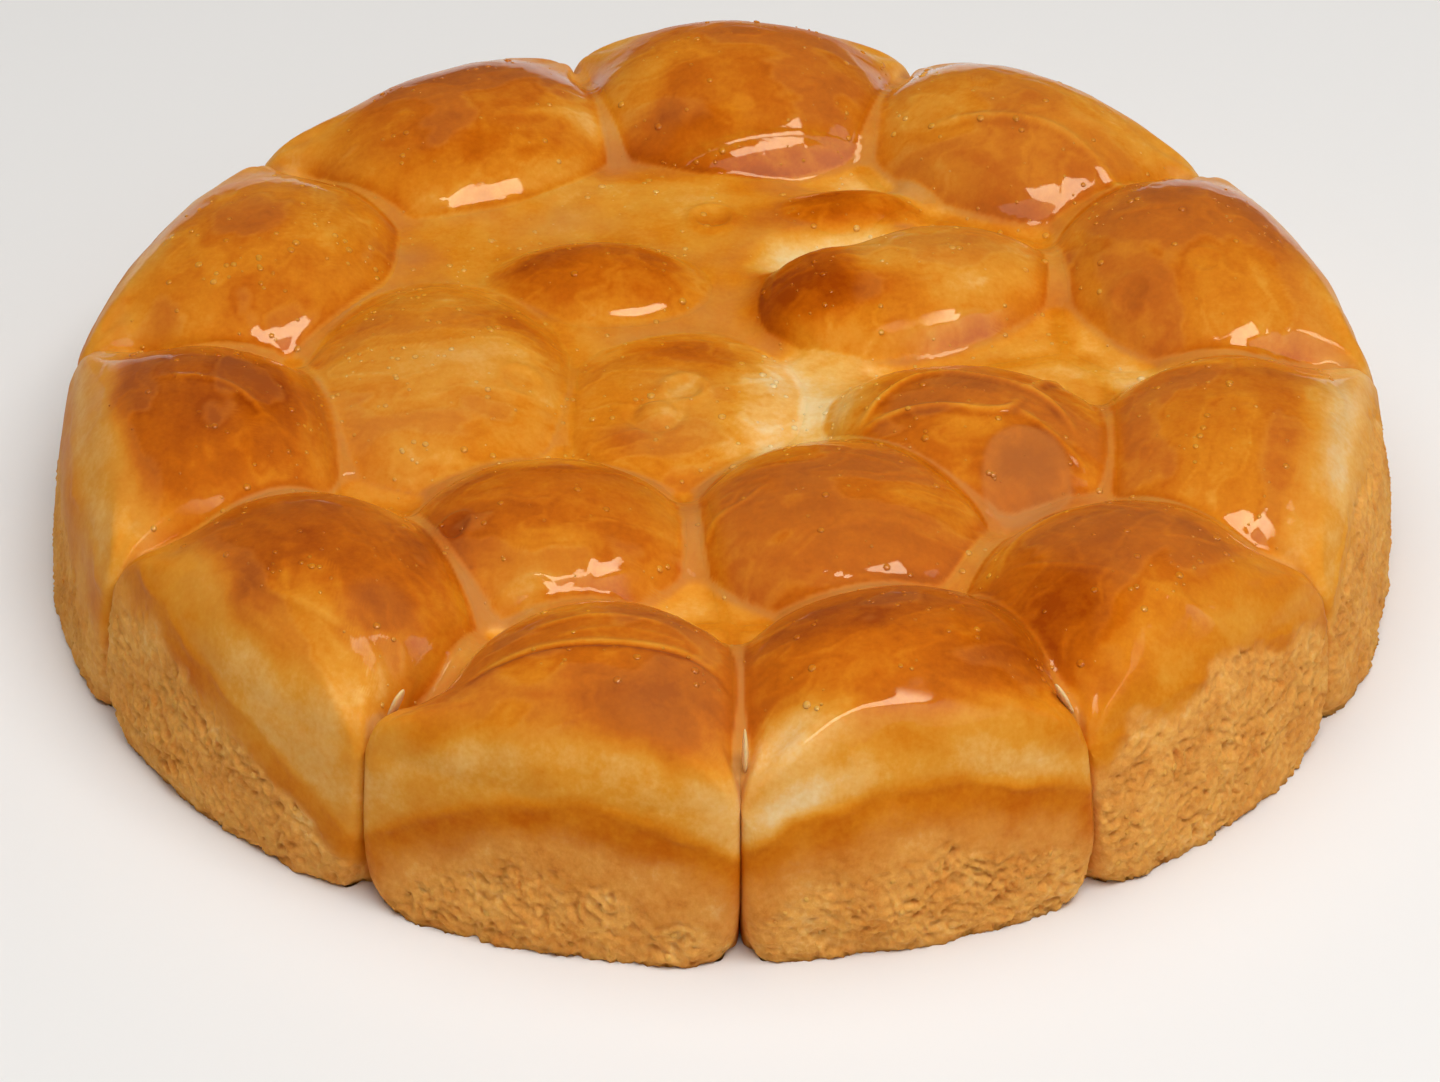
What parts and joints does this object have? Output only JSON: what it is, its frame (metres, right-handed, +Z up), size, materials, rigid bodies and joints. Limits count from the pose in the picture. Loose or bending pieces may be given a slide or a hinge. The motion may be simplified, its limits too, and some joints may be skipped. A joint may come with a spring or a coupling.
{
  "type": "pull-apart bread",
  "caption": "Round loaf of soft sweet rolls baked touching in a tin, with glazed brown domes and a rough golden wall, to pull apart and eat.",
  "frame": {"origin": "centre of the flat base", "axes": "+Z up, -Y is the front of the loaf as shown, +X to its right"},
  "size_m": [0.2504, 0.2502, 0.051],
  "materials": {
    "brown_crust": "soft baked crust, orange-brown, under a shiny sugar glaze",
    "pale_crust": "soft baked crust, golden, under a thick wet sugar glaze",
    "sugar_glaze": "thin set honey glaze pooled between the rolls, glossy"
  },
  "bodies": {
    "root": {"rim_roll_1": "brown_crust", "rim_roll_2": "brown_crust", "rim_roll_3": "brown_crust", "rim_roll_4": "brown_crust", "rim_roll_5": "brown_crust", "rim_roll_6": "brown_crust", "rim_roll_7": "brown_crust", "rim_roll_8": "brown_crust", "rim_roll_9": "brown_crust", "rim_roll_10": "brown_crust", "rim_roll_11": "brown_crust", "ring_roll_1": "brown_crust", "ring_roll_2": "brown_crust", "ring_roll_3": "brown_crust", "ring_roll_4": "pale_crust", "ring_roll_5": "pale_crust", "ring_roll_6": "pale_crust", "ring_roll_7": "brown_crust", "centre_roll": "pale_crust"}
  },
  "joints": []
}
